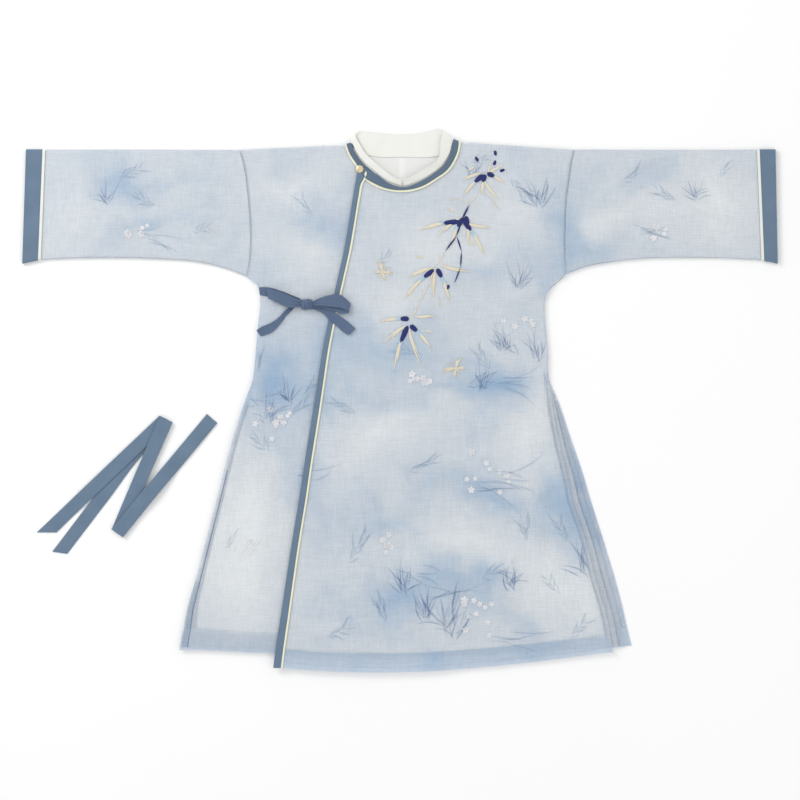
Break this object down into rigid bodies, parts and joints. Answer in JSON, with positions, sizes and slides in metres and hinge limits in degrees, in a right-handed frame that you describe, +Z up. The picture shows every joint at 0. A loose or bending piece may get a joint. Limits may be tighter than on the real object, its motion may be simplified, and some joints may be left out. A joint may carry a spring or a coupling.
{
  "type": "hanfu robe",
  "caption": "Child's round-collared hanfu robe of sheer printed cloth over a white lining, tied at one side, laid out flat with its loose folded belt.",
  "frame": {"origin": "on the surface under the robe, at the middle of the bounding box", "axes": "+Z up from the surface, +Y towards the collar, +X towards the wearer's left sleeve"},
  "size_m": [1.02, 0.7338, 0.0162],
  "materials": {
    "organza": "sheer printed cloth with a soft sheen",
    "lining": "matte white cotton",
    "slate_cotton": "matte slate blue cotton",
    "cream_satin": "satin piping",
    "knob": "pale gold"
  },
  "bodies": {
    "root": {"back_outer": "organza", "front_over": "organza", "front_under": "organza", "sleeve_left": "organza", "sleeve_right": "organza", "side_pleat_left": "organza", "side_pleat_right": "organza", "back_lining": "lining", "front_over_lining": "lining", "front_under_lining": "lining", "sleeve_lining_left": "lining", "sleeve_lining_right": "lining", "collar": "lining", "cuff_left": "slate_cotton", "cuff_right": "slate_cotton", "neck_band_over": "slate_cotton", "neck_band_under": "slate_cotton", "neck_band_back": "slate_cotton", "placket_band_over": "slate_cotton", "tie_root": "slate_cotton", "tie_loop_left": "slate_cotton", "tie_loop_right": "slate_cotton", "tie_knot": "slate_cotton", "tie_tail_left": "slate_cotton", "tie_tail_right": "slate_cotton", "belt_stretch_1": "slate_cotton", "belt_stretch_2": "slate_cotton", "belt_stretch_3": "slate_cotton", "belt_stretch_4": "slate_cotton", "cuff_piping_left": "cream_satin", "cuff_piping_right": "cream_satin", "neck_piping_over": "cream_satin", "neck_piping_under": "cream_satin", "placket_piping_over": "cream_satin", "button": "knob"}
  },
  "joints": []
}
